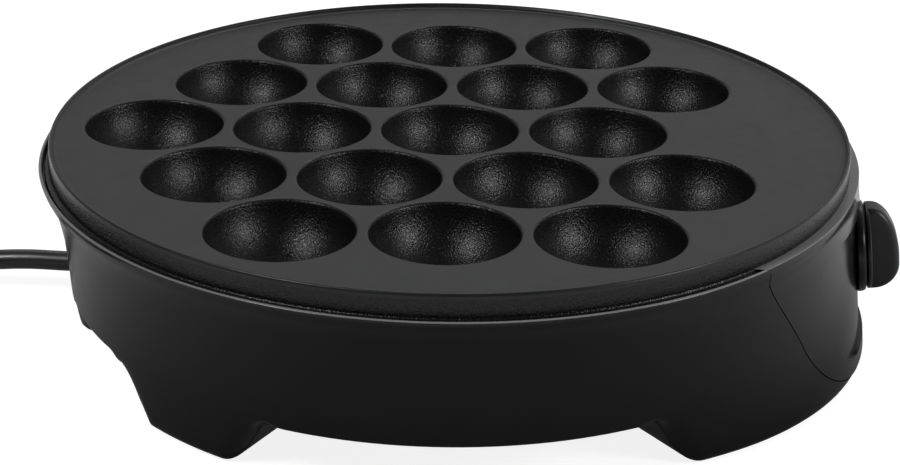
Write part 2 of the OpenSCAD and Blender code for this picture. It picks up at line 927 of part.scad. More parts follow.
module cord_boot() {
    flange_d = 13;
    color("#19191a") at_axis()
        translate([-boot_inner_r, 0, cord_h])
            rotate([0, -90, 0]) {
                cylinder(h = boot_pocket_r - wall_t - boot_inner_r - hole_gap + 0.2, d = flange_d);
                cylinder(h = boot_pocket_r - boot_inner_r + 0.5, d = boot_d);
                translate([0, 0, boot_pocket_r - boot_inner_r + 0.5])
                    cylinder(h = boot_tip_r - boot_pocket_r - 0.5, d1 = boot_d - 0.8, d2 = cord_d + 0.4);
            }
}

inner_end_r = 80;
module inner_cord() {
    color("#19191a") at_axis()
        translate([-inner_end_r, 0, cord_h])
            rotate([0, -90, 0]) cylinder(h = boot_inner_r - inner_end_r, d = cord_d);
}

wire_r = 1.1;
wire_h = floor_top + wire_r + 0.3;
wire_arc_r = 74.6;
function polar(r, a, h) = [r * cos(a), r * sin(a), h];
function block_port(y, side) =
    let (x = block_r + side * (block_w / 2 + 0.05))
        [
            x * cos(block_at) - y * sin(block_at),
            x * sin(block_at) + y * cos(block_at),
            floor_top + block_t / 2
        ];

// From the lead's end in the rear foot up to one of the terminal block's outer ports
module supply_wire(route, port_y) {
    port = block_port(port_y, 1);
    out = [cos(block_at), sin(block_at), 0];
    at_axis() tube(concat(route, [port + out * 3.4, port + out * 1.6, port]), wire_r, 8);
}

module live_wire() {
    color("#7a4a2a")
        supply_wire([
            [-80, 1.4, 10], [-78.9, 1.4, 10.3], [-78.4, 2.2, 12], [-79.2, 4, 16], [-84, 10, 20.6],
            [-90, 20, 22], [-95, 30, 21.9], [-96.5, 38, 21.7], [-92.3, 48.5, 21.6], [-87.5, 56.5, 21.6]
        ], -6);
}

module neutral_wire() {
    color("#2f5fa8")
        supply_wire([
            [-80, -1.4, 10], [-78.9, -1.4, 10.3], [-78.3, -1.6, 12.5], [-78.6, -1.4, 17], [-80.5, 1.5, 23.5],
            [-85, 9, 28], [-91.5, 22, 29.5], [-95.5, 36, 28], [-94.2, 44, 25.8]
        ], 6);
}

// From the terminal block's inner port round to the thermostat
module feed_wire() {
    port = block_port(-6, -1);
    turn = [for (a = [136:-11:15]) polar(wire_arc_r, a, wire_h)];
    back_x = knob_x - bracket_back - bracket_t - thermostat_len - 0.2;
    back_h = knob_h - 2.4;
    color("#8c3028") at_axis()
        tube(concat(
            [port, port - polar(3, block_at, 0)],
            turn,
            [
                [80, 15, 22], [86, 11, 23], [back_x - 4, 7, back_h - 0.6],
                [back_x - 1, 6.5, back_h - 0.1], [back_x, 6.5, back_h]
            ]
        ), wire_r, 8);
}

// From the terminal block's other inner port round to the heating element
module return_wire() {
    port = block_port(6, -1);
    turn = [for (a = [162:11:340]) polar(wire_arc_r, a, wire_h)];
    tip_x = element_end_x + bead_l + pin_tip_l + 0.5;
    color("#2a2a2c") at_axis()
        tube(concat(
            [port, port - polar(3, block_at, 0)],
            turn,
            [
                [84, -20, 22], [94, -18, 25], [tip_x - 1, -16, element_h - 8],
                [tip_x + 0.7, -element_half_gap - 0.8, element_h - 3],
                [tip_x + 0.9, -element_half_gap, element_h - 0.4], [tip_x, -element_half_gap, element_h]
            ]
        ), wire_r, 8);
}

// From the thermostat to the element's other end
module link_wire() {
    tip_x = element_end_x + bead_l + pin_tip_l + 0.5;
    mid_h = knob_h - 2;
    color("#8c3028") at_axis()
        tube([
            [tip_x, element_half_gap, element_h], [tip_x + 0.9, element_half_gap, element_h - 0.4],
            [tip_x + 0.7, element_half_gap + 1, element_h - 3],
            [tip_x - 0.4, element_half_gap + 1.8, element_h - 6],
            [tip_x - 2, element_half_gap + 2, mid_h + 3.2], [tip_x - 3, element_half_gap + 1.2, mid_h + 0.6],
            [tip_x - 3, element_half_gap - 0.7, mid_h]
        ], wire_r, 8);
}

// ---- Mains lead ----

module cord_lead() {
    route = [for (p = LEAD) [lead_start_x - p[0], 0, p[1]]];
    color("#161617") tube(route, cord_r, 8);
}

module cord_coil() {
    color("#161617") tube(COIL, cord_r, 6);
}

// Stand at the lead's far end, with +X along the plug
module at_plug() {
    translate(coil_end) rotate([0, 0, atan2(coil_out[1], coil_out[0])]) children();
}

module plug_boot() {
    color("#19191a") at_plug()
        rotate([0, 90, 0]) cylinder(h = plug_boot_len, d1 = cord_d + 0.6, d2 = cord_d + 4);
}

module plug_body() {
    back_w = 14;
    color("#19191a") at_plug()
        translate([plug_boot_len, 0, -plug_h])
            linear_extrude(height = 2 * plug_h)
                polygon([
                    [0, -back_w / 2], [12, -plug_w / 2], [plug_len, -plug_w / 2],
                    [plug_len, plug_w / 2], [12, plug_w / 2], [0, back_w / 2]
                ]);
}

module plug_pins() {
    color("#c8b070") at_plug()
        for (y = [-pin_gap / 2, pin_gap / 2])
            translate([plug_boot_len + plug_len, y, 0]) rotate([0, 90, 0]) cylinder(h = pin_len, d = pin_d);
}

base_shell();
control_panel();
knob_bezel();
control_knob();
thermostat_shaft();
thermostat_body();
thermostat_bracket();
thermostat_screws();
pilot_lens();
pilot_lamp();
cooking_plate();
reflector_pan();
reflector_screws();
heating_element();
element_terminals();
element_brackets();
sensor_cup();
sensor_bracket();
sensor_capillary();
thermal_fuse();
fuse_clip();
terminal_block();
terminal_screws();
cord_boot();
inner_cord();
live_wire();
neutral_wire();
feed_wire();
return_wire();
link_wire();
bottom_cover();
cover_screws();
rubber_feet();
cord_lead();
cord_coil();
plug_boot();
plug_body();
plug_pins();
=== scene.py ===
"""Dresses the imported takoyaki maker: camera, lead, cast plate, moulded base, knob and finishes."""
import json
from math import asin, atan2, cos, degrees, hypot, pi, radians, sin, sqrt

import bmesh
import bpy
from mathutils import Matrix, Vector


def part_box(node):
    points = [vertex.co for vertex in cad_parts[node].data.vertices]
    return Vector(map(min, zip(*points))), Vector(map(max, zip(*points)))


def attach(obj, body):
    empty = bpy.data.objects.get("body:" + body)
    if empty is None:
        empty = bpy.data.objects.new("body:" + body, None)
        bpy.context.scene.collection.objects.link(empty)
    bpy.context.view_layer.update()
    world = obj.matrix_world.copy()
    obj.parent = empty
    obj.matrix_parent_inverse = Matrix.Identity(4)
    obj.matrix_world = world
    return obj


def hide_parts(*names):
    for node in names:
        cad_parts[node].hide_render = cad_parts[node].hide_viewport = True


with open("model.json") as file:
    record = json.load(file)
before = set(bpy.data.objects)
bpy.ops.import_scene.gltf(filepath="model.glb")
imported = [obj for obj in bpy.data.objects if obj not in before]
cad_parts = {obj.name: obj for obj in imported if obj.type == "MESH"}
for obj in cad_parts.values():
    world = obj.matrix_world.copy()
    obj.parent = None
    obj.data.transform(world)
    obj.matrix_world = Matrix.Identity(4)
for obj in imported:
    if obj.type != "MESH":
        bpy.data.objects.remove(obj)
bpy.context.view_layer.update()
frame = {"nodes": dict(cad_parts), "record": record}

MM = 0.001

# ---- Sizes, in millimetres, as in the part's source ----

PLATE_LOW, PLATE_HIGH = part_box("cooking_plate")
AXIS_X = (PLATE_LOW.x + PLATE_HIGH.x) / 2 / MM
COOK_H = 58
PIT_R = 19.5
PIT_DEPTH = 17.5
PIT_PITCH = 42
PIT_WALL = 2.6
PLATE_TURN = radians(5)
RIM_H = 53.2
LEDGE_H = 51.2
LIP_INNER_R = 114.4
ARCH_H = 15.5
FRONT_ARCH_H = 15.4
REAR_ARCH_H = 17.4
FOOT_LOW = 0.6
FOOT_INNER_R = 84
REAR_INNER_R = 74
COVER_OPENING_R = 66
WALL_T = 2.5
NOSE_X = 26.5
NOSE_LOW_R = 94.2
NOSE_HIGH_R = 88.5
NOSE_SLOPE = (NOSE_LOW_R - NOSE_HIGH_R) / RIM_H
NOSE_TILT = atan2(NOSE_SLOPE, 1)
KNOB_H = 28.8
KNOB_X = NOSE_X + NOSE_LOW_R - NOSE_SLOPE * KNOB_H
POCKET_DEPTH = 1.1
BEZEL_T = 2.2
KNOB_R = 12.4
KNOB_START = BEZEL_T - POCKET_DEPTH + 0.4
GRIP_LEN = 9.3
GRIP_W = 8
CORD_R = 3
CORD_H = 10
BOOT_TIP_R = 112
BOOT_LEN = 24
PLUG_BOOT_LEN = 24
PLUG_LEN = 36
PIN_GAP = 19


# ---- Camera ----

def set_camera():
    """The photograph's viewpoint, measured from the plate's axis on the table."""
    place = Vector((AXIS_X + 58.2, -581.1, 283.3)) * MM
    yaw, pitch, roll = radians(-5.68), radians(23.79), radians(0.75)
    forward = Vector((sin(yaw) * cos(pitch), cos(yaw) * cos(pitch), -sin(pitch)))
    level = Vector((cos(yaw), -sin(yaw), 0))
    right = cos(roll) * level + sin(roll) * level.cross(forward)
    up = right.cross(forward)
    data = bpy.data.cameras.new("camera")
    data.sensor_width = 36
    data.lens = 88.1
    camera = bpy.data.objects.new("camera", data)
    bpy.context.scene.collection.objects.link(camera)
    turn = Matrix((right, up, -forward)).transposed().to_4x4()
    camera.matrix_world = Matrix.Translation(place) @ turn
    bpy.context.scene.camera = camera


set_camera()


# ---- Finishes ----

def finish(name, color, roughness, metallic=0.0, grain=0.0, grain_mm=0.5, vary=0.15, **sockets):
    """A Principled surface whose colour and roughness drift a little, with a fine grain."""
    mat = bpy.data.materials.new(name)
    mat.use_nodes = True
    nodes, links = mat.node_tree.nodes, mat.node_tree.links
    shader = nodes["Principled BSDF"]
    shader.inputs["Metallic"].default_value = metallic
    for socket, value in sockets.items():
        shader.inputs[socket.replace("_", " ")].default_value = value
    where = nodes.new("ShaderNodeTexCoord")

    def noise(size_mm, detail):
        node = nodes.new("ShaderNodeTexNoise")
        node.inputs["Scale"].default_value = 1 / (size_mm * MM)
        node.inputs["Detail"].default_value = detail
        links.new(where.outputs["Object"], node.inputs["Vector"])
        return node.outputs["Fac"]

    def ranged(source, low, high):
        node = nodes.new("ShaderNodeMapRange")
        node.inputs["From Min"].default_value = 0.3
        node.inputs["From Max"].default_value = 0.7
        node.inputs["To Min"].default_value = low
        node.inputs["To Max"].default_value = high
        links.new(source, node.inputs["Value"])
        return node.outputs["Result"]

    clouds = noise(14, 3)
    tint = nodes.new("ShaderNodeMix")
    tint.data_type = "RGBA"
    tint.inputs["A"].default_value = (*[c * (1 - vary) for c in color], 1)
    tint.inputs["B"].default_value = (*[min(1, c * (1 + vary)) for c in color], 1)
    links.new(ranged(clouds, 0, 1), tint.inputs["Factor"])
    links.new(tint.outputs["Result"], shader.inputs["Base Color"])
    links.new(ranged(noise(5, 4), roughness * 0.88, roughness * 1.12), shader.inputs["Roughness"])
    if grain:
        bump = nodes.new("ShaderNodeBump")
        bump.inputs["Strength"].default_value = grain
        bump.inputs["Distance"].default_value = 0.1 * MM
        links.new(noise(grain_mm, 2), bump.inputs["Height"])
        links.new(bump.outputs["Normal"], shader.inputs["Normal"])
    return mat


def cast_coating(name):
    """Non-stick coat: satin on the ground floor, rough as cast in the pits and on the side, where painted
    shade also darkens its colour to near black.
    """
    mat = finish(name, (0.0075, 0.008, 0.009), 0.36, vary=0.2, Specular_IOR_Level=0.24)
    nodes, links = mat.node_tree.nodes, mat.node_tree.links
    shader = nodes["Principled BSDF"]
    where = nodes.new("ShaderNodeTexCoord")
    split = nodes.new("ShaderNodeSeparateXYZ")
    links.new(where.outputs["Object"], split.inputs[0])
    # Mask of what lies below the floor: real rough cast grain, and painted shade in the colour.
    rough_cast_and_shade = nodes.new("ShaderNodeMapRange")
    rough_cast_and_shade.inputs["From Min"].default_value = (COOK_H - 0.35) * MM
    rough_cast_and_shade.inputs["From Max"].default_value = (COOK_H - 0.02) * MM
    rough_cast_and_shade.inputs["To Min"].default_value = 1.0
    rough_cast_and_shade.inputs["To Max"].default_value = 0.0
    links.new(split.outputs["Z"], rough_cast_and_shade.inputs["Value"])

    def grain(size_mm, detail, low, high):
        noise = nodes.new("ShaderNodeTexNoise")
        noise.inputs["Scale"].default_value = 1 / (size_mm * MM)
        noise.inputs["Detail"].default_value = detail
        links.new(where.outputs["Object"], noise.inputs["Vector"])
        spread = nodes.new("ShaderNodeMapRange")
        spread.inputs["From Min"].default_value = 0.35
        spread.inputs["From Max"].default_value = 0.65
        spread.inputs["To Min"].default_value = low
        spread.inputs["To Max"].default_value = high
        links.new(noise.outputs["Fac"], spread.inputs["Value"])
        return spread.outputs["Result"]

    # Painted shade: below the floor, in the pits and on the side, the base colour darkens to near black.
    tint = nodes.new("ShaderNodeMix")
    tint.data_type = "RGBA"
    links.new(rough_cast_and_shade.outputs["Result"], tint.inputs["Factor"])
    links.new(shader.inputs["Base Color"].links[0].from_socket, tint.inputs["A"])
    tint.inputs["B"].default_value = (0.0025, 0.0025, 0.0027, 1)
    links.new(tint.outputs["Result"], shader.inputs["Base Color"])
    gloss = nodes.new("ShaderNodeMix")
    gloss.data_type = "FLOAT"
    links.new(rough_cast_and_shade.outputs["Result"], gloss.inputs["Factor"])
    links.new(shader.inputs["Roughness"].links[0].from_socket, gloss.inputs["A"])
    links.new(grain(0.45, 1, 0.2, 0.36), gloss.inputs["B"])
    links.new(gloss.outputs["Result"], shader.inputs["Roughness"])
    floor = nodes.new("ShaderNodeBump")
    floor.inputs["Strength"].default_value = 0.12
    floor.inputs["Distance"].default_value = 0.1 * MM
    links.new(grain(0.6, 2, 0, 1), floor.inputs["Height"])
    cast = nodes.new("ShaderNodeBump")
    cast.inputs["Distance"].default_value = 0.055 * MM
    links.new(rough_cast_and_shade.outputs["Result"], cast.inputs["Strength"])
    links.new(grain(0.5, 2, 0, 1), cast.inputs["Height"])
    links.new(floor.outputs["Normal"], cast.inputs["Normal"])
    links.new(cast.outputs["Normal"], shader.inputs["Normal"])
    return mat


GLOSS_BLACK = (0.0026, 0.0026, 0.0026)


def gloss_moulding(name, level, roughness):
    """Deep gloss black, with a painted highlight: a paler band on the fine edge at the rim's top."""
    mat = finish(name, GLOSS_BLACK, roughness, grain=0.06, grain_mm=0.7, Specular_IOR_Level=level)
    nodes, links = mat.node_tree.nodes, mat.node_tree.links
    shader = nodes["Principled BSDF"]
    where = nodes.new("ShaderNodeTexCoord")
    split = nodes.new("ShaderNodeSeparateXYZ")
    links.new(where.outputs["Object"], split.inputs[0])
    # Painted highlight: a pale grey band of base colour just under the rim's top stands in for the light
    # caught on its edge.
    edge = nodes.new("ShaderNodeMapRange")
    edge.inputs["From Min"].default_value = (RIM_H - 0.3) * MM
    edge.inputs["From Max"].default_value = (RIM_H - 0.12) * MM
    links.new(split.outputs["Z"], edge.inputs["Value"])
    tint = nodes.new("ShaderNodeMix")
    tint.data_type = "RGBA"
    links.new(edge.outputs["Result"], tint.inputs["Factor"])
    links.new(shader.inputs["Base Color"].links[0].from_socket, tint.inputs["A"])
    tint.inputs["B"].default_value = (0.16, 0.16, 0.165, 1)
    links.new(tint.outputs["Result"], shader.inputs["Base Color"])
    return mat


FINISHES = {
    "plate_coat": cast_coating("cast_coating"),
    "shell_plastic": gloss_moulding("shell_gloss", 0.19, 0.2),
    "panel_plastic": gloss_moulding("panel_gloss", 0.21, 0.17),
    "knob_plastic": finish("knob_satin", (0.007, 0.0075, 0.009), 0.4, grain=0.25, grain_mm=0.3,
                           Specular_IOR_Level=0.3),
    "bezel_plastic": finish("bezel_satin", (0.004, 0.004, 0.0043), 0.3, grain=0.2, grain_mm=0.3,
                            Specular_IOR_Level=0.25),
    "lens_red": finish("lens_red", (0.5, 0.03, 0.02), 0.1, Coat_Weight=0.5),
    "lamp": finish("lamp_glass", (0.8, 0.4, 0.15), 0.1),
    "steel": finish("zinc_plate", (0.5, 0.5, 0.5), 0.32, metallic=1, grain=0.1),
    "element_sheath": finish("element_sheath", (0.16, 0.14, 0.12), 0.45, metallic=1, grain=0.3),
    "reflector": finish("bright_sheet", (0.6, 0.6, 0.61), 0.25, metallic=1, grain=0.1, grain_mm=1.5),
    "ceramic": finish("ceramic", (0.7, 0.67, 0.6), 0.35, grain=0.2),
    "copper": finish("copper", (0.6, 0.33, 0.2), 0.35, metallic=1, grain=0.1),
    "brass": finish("brass", (0.7, 0.55, 0.25), 0.25, metallic=1, grain=0.1),
    "rubber": finish("rubber", (0.012, 0.012, 0.0125), 0.5, grain=0.3, grain_mm=0.4),
    "cord_rubber": finish("cord_sheath", (0.011, 0.011, 0.012), 0.36, grain=0.2, grain_mm=0.6),
    "wire_brown": finish("wire_brown", (0.2, 0.08, 0.03), 0.45),
    "wire_blue": finish("wire_blue", (0.03, 0.1, 0.4), 0.45),
    "wire_red": finish("wire_red", (0.3, 0.03, 0.02), 0.55, grain=0.3),
    "wire_black": finish("wire_black", (0.02, 0.02, 0.02), 0.55, grain=0.3),
}


def paint_nodes():
    """Gives each CAD node the finish of its material slot."""
    for part in frame["record"]["subparts"]:
        node = frame["nodes"][part["node"]]
        mat = FINISHES[part["material_slot"]]
        if not node.material_slots:
            node.data.materials.append(mat)
        for place in node.material_slots:
            place.material = mat


paint_nodes()


# ---- Making pieces ----

def piece(name, bm, slot, body, replaced=(), smooth=40):
    """Puts a mesh about the plate's axis into the scene as a finished piece."""
    bmesh.ops.translate(bm, verts=bm.verts, vec=(AXIS_X * MM, 0, 0))
    return place(name, bm, slot, body, replaced, smooth)


def place(name, bm, slot, body, replaced=(), smooth=40):
    """Puts a mesh that is already where it belongs into the scene as a finished piece."""
    mesh = bpy.data.meshes.new(name)
    bm.to_mesh(mesh)
    bm.free()
    mesh.shade_smooth()
    mesh.set_sharp_from_angle(angle=radians(smooth))
    obj = bpy.data.objects.new(name, mesh)
    bpy.context.scene.collection.objects.link(obj)
    obj.data.materials.append(FINISHES[slot])
    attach(obj, body)
    if replaced:
        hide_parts(*replaced)
    return obj


def chain(bm, points):
    """Edges through points of radius and height, in the plane y = 0."""
    verts = [bm.verts.new((r * MM, 0, h * MM)) for r, h in points]
    edges = [bm.edges.new(pair) for pair in zip(verts, verts[1:])]
    return verts + edges


def lathe(bm, points, steps, centre=(0, 0, 0), axis=(0, 0, 1)):
    """Turns points of radius and height right round an upright axis, and returns its new faces."""
    before = set(bm.faces)
    line = chain(bm, points)
    bmesh.ops.spin(bm, geom=line, cent=(0, 0, 0), axis=axis, angle=2 * pi, steps=steps, use_merge=True)
    faces = [f for f in bm.faces if f not in before]
    verts = list({v for f in faces for v in f.verts})
    bmesh.ops.remove_doubles(bm, verts=verts, dist=0.002 * MM)
    verts = list({v for f in bm.faces if f not in before for v in f.verts})
    bmesh.ops.translate(bm, verts=verts, vec=Vector(centre) * MM)


def arc(centre, radius, start, end, count):
    """Points of a circle's arc, with its angles in degrees."""
    return [
        (
            centre[0] + radius * cos(radians(start + (end - start) * i / count)),
            centre[1] + radius * sin(radians(start + (end - start) * i / count)),
        )
        for i in range(count + 1)
    ]


def round_edges(bm, width, segments=2, angle=40):
    """Bevels the edges sharper than an angle."""
    sharp = [e for e in bm.edges if len(e.link_faces) == 2 and e.calc_face_angle() > radians(angle)]
    bmesh.ops.bevel(bm, geom=sharp, offset=width * MM, offset_type="OFFSET", segments=segments,
                    profile=0.5, affect="EDGES", clamp_overlap=True, material=-1)


# ---- Cooking plate ----

def pit_places():
    """The eighteen pits, in five rows, with the place nearest the knob left flat."""
    for row in range(-2, 3):
        count = 5 - abs(row)
        for k in range(count):
            if row == 0 and k == count - 1:
                continue
            x = (k - (count - 1) / 2) * PIT_PITCH
            y = row * PIT_PITCH * sin(radians(60))
            yield x * cos(PLATE_TURN) - y * sin(PLATE_TURN), x * sin(PLATE_TURN) + y * cos(PLATE_TURN)


def fill_between(bm, height, reach):
    """Closes a flat floor between the open rings that lie at a height."""
    rings = [
        e for e in bm.edges
        if e.is_boundary and all(abs(v.co.z - height * MM) < 0.01 * MM for v in e.verts)
        and all(hypot(v.co.x, v.co.y) < reach * MM for v in e.verts)
    ]
    bmesh.ops.triangle_fill(bm, use_beauty=True, use_dissolve=False, edges=rings)


def cooking_plate():
    """The casting: a flat floor with its rim, and eighteen pits whose bulbs show underneath."""
    ball_r = (PIT_R ** 2 + PIT_DEPTH ** 2) / (2 * PIT_DEPTH)
    ball_h = COOK_H - PIT_DEPTH + ball_r
    mouth_f = 1.0
    under_h = COOK_H - 3
    drop = ball_h - (COOK_H - mouth_f)
    mouth_r = sqrt((ball_r + mouth_f) ** 2 - drop ** 2)
    tangent = degrees(asin(drop / (ball_r + mouth_f)))
    bowl = [(mouth_r + 0.2, COOK_H)]
    bowl += arc((mouth_r, COOK_H - mouth_f), mouth_f, 90, 180 - tangent, 5)
    bowl += arc((0, ball_h), ball_r, -tangent, -90, 16)[1:]
    bulb_r = ball_r + PIT_WALL
    collar_r = PIT_PITCH / 2 - 0.1
    collar_at = -degrees(asin(sqrt(1 - (collar_r / bulb_r) ** 2)))
    bulb = [(collar_r, under_h)] + arc((0, ball_h), bulb_r, collar_at, -90, 12)
    rim = [(106.8, 58), (109.4, 58), (110.3, 58.06), (110.9, 58.3), (111.2, 58.7), (111.38, 59.1)]
    rim += [(111.55, 59.27), (111.85, 59.3), (112.1, 59.22), (112.28, 58.95), (112.4, 58.5)]
    rim += [(112.4, 56), (112.4, 53.4), (112.48, 53.0), (112.75, 52.72), (113.2, 52.62), (113.6, 52.58)]
    rim += [(113.84, 52.45), (113.9, 52.2), (113.9, 51.6), (113.8, 51.42), (113.5, 51.4), (109.6, 51.4)]
    rim += [(109.35, 51.6), (108.8, 54.4), (108.2, under_h)]
    bm = bmesh.new()
    lathe(bm, rim, 288)
    for x, y in pit_places():
        lathe(bm, bowl, 72, (x, y, 0))
        lathe(bm, bulb, 48, (x, y, 0))
    fill_between(bm, COOK_H, 107)
    fill_between(bm, under_h, 109)
    bmesh.ops.recalc_face_normals(bm, faces=bm.faces)
    piece("plate", bm, "plate_coat", "plate", ["cooking_plate"], smooth=50)


cooking_plate()


# ---- Base ----

WALL = [
    (FOOT_LOW, 106.7), (ARCH_H, 108.3), (22, 108.7), (28, 109.1), (34, 109.7), (39, 110.55),
    (43, 111.5), (46, 112.45), (48.4, 113.5), (49.6, 114.2), (50.8, 114.8), (51.8, 115.15),
    (52.75, 115.4), (52.98, 115.33), (53.13, 115.18), (RIM_H, 115.0),
]
SIDE_FOOT_AT = 124.5
SIDE_FOOT_HALF = 10.25
REAR_FOOT_HALF = 18
SKIRT_HALF = 50.5
END_R = 106
FRONT_ARCH_ROUNDING = 5
REAR_ARCH_ROUNDING = 9
FOOT_ROUNDING = 5
HOLLOW_INSET = 1.6
# Each foot's end: its angle, the way out of the foot, how far out it is at the arch and in at the table,
# and the radius of its upright corner
FOOT_ENDS = [
    (SKIRT_HALF, 1, 6.9, 2.8, 5.5), (SIDE_FOOT_AT - SIDE_FOOT_HALF, -1, 8.2, 1.5, 5.5),
    (SIDE_FOOT_AT + SIDE_FOOT_HALF, 1, 5.5, 4.1, 4), (180 - REAR_FOOT_HALF, -1, 5.5, 4.1, 9),
]
FOOT_ENDS += [(360 - end[0], -end[1], *end[2:]) for end in reversed(FOOT_ENDS)]


def round_reach(h):
    """Radius of the round wall at a height."""
    for (h0, r0), (h1, r1) in zip(WALL, WALL[1:]):
        if h <= h1:
            return r0 + (r1 - r0) * (max(h, h0) - h0) / (h1 - h0)
    return WALL[-1][1]


def nose_reach(turn, h):
    """Distance from the plate's axis to the front bulge, in a direction."""
    r = NOSE_LOW_R - NOSE_SLOPE * h
    return NOSE_X * cos(turn) + sqrt(r * r - (NOSE_X * sin(turn)) ** 2)


def smooth_step(t):
    t = min(1, max(0, t))
    return t * t * (3 - 2 * t)


def outer_reach(turn, h):
    """The base's outer surface: wall and bulge run into each other without an edge."""
    wall, nose = round_reach(h), nose_reach(turn, h)
    blend = 0.3 + 5.0 * (1 - smooth_step((h - 44) / 7))
    gap = abs(wall - nose)
    lift = max(blend - gap, 0) ** 2 / (4 * blend)
    return max(wall, nose) + lift - corner_cut(turn, h)


def nearest_end(turn):
    """The foot end that lies nearest to a direction."""
    angle = degrees(turn) % 360
    return min(FOOT_ENDS, key=lambda end: abs(angle - end[0]))


def beyond_foot(turn):
    """Distance round the wall from the nearest foot's end, less than zero on the foot."""
    at, way = nearest_end(turn)[:2]
    return (degrees(turn) % 360 - at) * way * pi / 180 * END_R


def soft_min(a, b, blend):
    """The lower of two values, rounded where they cross."""
    return min(a, b) - max(blend - abs(a - b), 0) ** 2 / (4 * blend)


def to_rear(turn):
    """Whether a direction lies behind the middles of the side feet."""
    angle = degrees(turn) % 360
    return min(angle, 360 - angle) > SIDE_FOOT_AT


def corner_cut(turn, h):
    """What the upright rounding of a foot's corner takes off the wall; it fades out above the arch."""
    out, into, corner_r = nearest_end(turn)[2:]
    top = REAR_ARCH_H if to_rear(turn) else FRONT_ARCH_H
    end_at = (min(h, top) - FOOT_LOW) / (top - FOOT_LOW) * (out + into) - into
    beyond = beyond_foot(turn) - end_at
    fade = smooth_step((ARCH_H + 1.5 - h) / 5)
    if beyond <= -corner_r or fade == 0:
        return 0
    short = corner_r - max(0, -beyond)
    return (corner_r - sqrt(corner_r ** 2 - short ** 2)) * fade * (1 - smooth_step(beyond / 7))


def edge_height(turn, inset=0.0):
    """Height of the wall's lower edge: down at the feet, up in the arches, with leaning ends."""
    out, into = nearest_end(turn)[2:4]
    top, blend = (REAR_ARCH_H, REAR_ARCH_ROUNDING) if to_rear(turn) else (FRONT_ARCH_H, FRONT_ARCH_ROUNDING)
    ramp = FOOT_LOW + (top - FOOT_LOW) * (beyond_foot(turn) + inset + into) / (out + into)
    return -soft_min(-soft_min(ramp, top, blend), -FOOT_LOW, FOOT_ROUNDING)


def foot_inner(turn):
    angle = degrees(turn) % 360
    near_rear = smooth_step((32 - abs(angle - 180)) / 6)
    return FOOT_INNER_R + (REAR_INNER_R - FOOT_INNER_R) * near_rear


def sectors():
    """Angles round the base, close together where a foot ends."""
    turns = set()
    for end in FOOT_ENDS:
        for i in range(-38, 40):
            turns.add(round((end[0] + i * 0.25) % 360, 3))
    for i in range(0, 360, 2):
        if all(min(abs(i - end[0]), 360 - abs(i - end[0])) > 10 for end in FOOT_ENDS):
            turns.add(float(i))
    return sorted(turns)


def turned_form(bm, rows, turns, closed):
    """Spins a loop of rows by uneven steps, then moves each vertex to where its row says."""
    verts = [bm.verts.new(((60 + i * 0.1) * MM, 0, 0)) for i in range(len(rows))]
    edges = [bm.edges.new(pair) for pair in zip(verts, verts[1:] + verts[:1])]
    bmesh.ops.rotate(bm, verts=verts, cent=(0, 0, 0), matrix=Matrix.Rotation(radians(turns[0]), 3, "Z"))
    rings = [verts]
    steps = list(zip(turns, turns[1:])) + ([(turns[-1], turns[0] + 360)] if closed else [])
    line = verts + edges
    for start, end in steps:
        made = bmesh.ops.spin(bm, geom=line, cent=(0, 0, 0), axis=(0, 0, 1),
                              angle=radians(end - start), steps=1)
        line = made["geom_last"]
        ring = sorted((g for g in line if isinstance(g, bmesh.types.BMVert)), key=lambda v: v.co.xy.length)
        rings.append(ring)
    return rings


def shape_rings(rings, rows, turns, closed):
    for ring, turn in zip(rings, list(turns) + ([turns[0] + 360] if closed else [])):
        turn = radians(turn)
        for vert, row in zip(ring, rows):
            r, h = row(turn)
            vert.co = (r * cos(turn) * MM, r * sin(turn) * MM, h * MM)


def base_rows():
    """The shell's section, as functions of direction: outer wall, underside, hollow and rim."""
    rows = []
    wall_heights = [h for h, r in WALL if h > ARCH_H]
    lower_wall_steps = [1, 0.8, 0.6, 0.4, 0.2, 0.07, 0]

    def hollow_low(t):
        return edge_height(t, HOLLOW_INSET) + WALL_T

    def edge_f(t):
        return 0.6 + smooth_step(-beyond_foot(t) / 6)

    for h in reversed(wall_heights):
        rows.append(lambda t, h=h: (outer_reach(t, h), h))
    for s in lower_wall_steps:
        def lower(t, s=s):
            low = edge_height(t) + edge_f(t)
            h = low + (ARCH_H + 4 - low) * s
            return outer_reach(t, h), h
        rows.append(lower)
    for a in (30, 60, 90):
        def edge(t, a=radians(a)):
            f = edge_f(t)
            return outer_reach(t, edge_height(t) + f) - f * (1 - cos(a)), edge_height(t) + f * (1 - sin(a))
        rows.append(edge)
    for s in (0.25, 0.5, 0.75, 1):
        def under(t, s=s):
            edge = edge_height(t)
            start = outer_reach(t, edge + edge_f(t)) - edge_f(t)
            return start + (foot_inner(t) - start) * s, edge + (min(edge, ARCH_H) - edge) * s
        rows.append(under)
    rows.append(lambda t: (foot_inner(t) - 0.02, ARCH_H))
    rows.append(lambda t: (COVER_OPENING_R, ARCH_H))
    rows.append(lambda t: (COVER_OPENING_R, ARCH_H + WALL_T))
    rows.append(lambda t: (foot_inner(t) + WALL_T - 0.02, ARCH_H + WALL_T))
    rows.append(lambda t: (foot_inner(t) + WALL_T, hollow_low(t)))
    rows.append(lambda t: (outer_reach(t, hollow_low(t)) - WALL_T, hollow_low(t)))
    for s in (0.33, 0.66, 1):
        def inner(t, s=s):
            h = hollow_low(t) + (ARCH_H + 4 - hollow_low(t)) * s
            return outer_reach(t, h) - WALL_T, h
        rows.append(inner)
    for h in (28, 34, 39, 43, 46, LEDGE_H - WALL_T):
        rows.append(lambda t, h=h: (outer_reach(t, h) - WALL_T, h))
    rows.append(lambda t: (106.5, LEDGE_H - WALL_T))
    rows.append(lambda t: (106.5, LEDGE_H))
    rows.append(lambda t: (LIP_INNER_R - 0.1, LEDGE_H))
    rows.append(lambda t: (LIP_INNER_R, LEDGE_H + 0.1))
    rows.append(lambda t: (LIP_INNER_R, RIM_H - 0.2))
    rows.append(lambda t: (LIP_INNER_R + 0.25, RIM_H))
    return rows


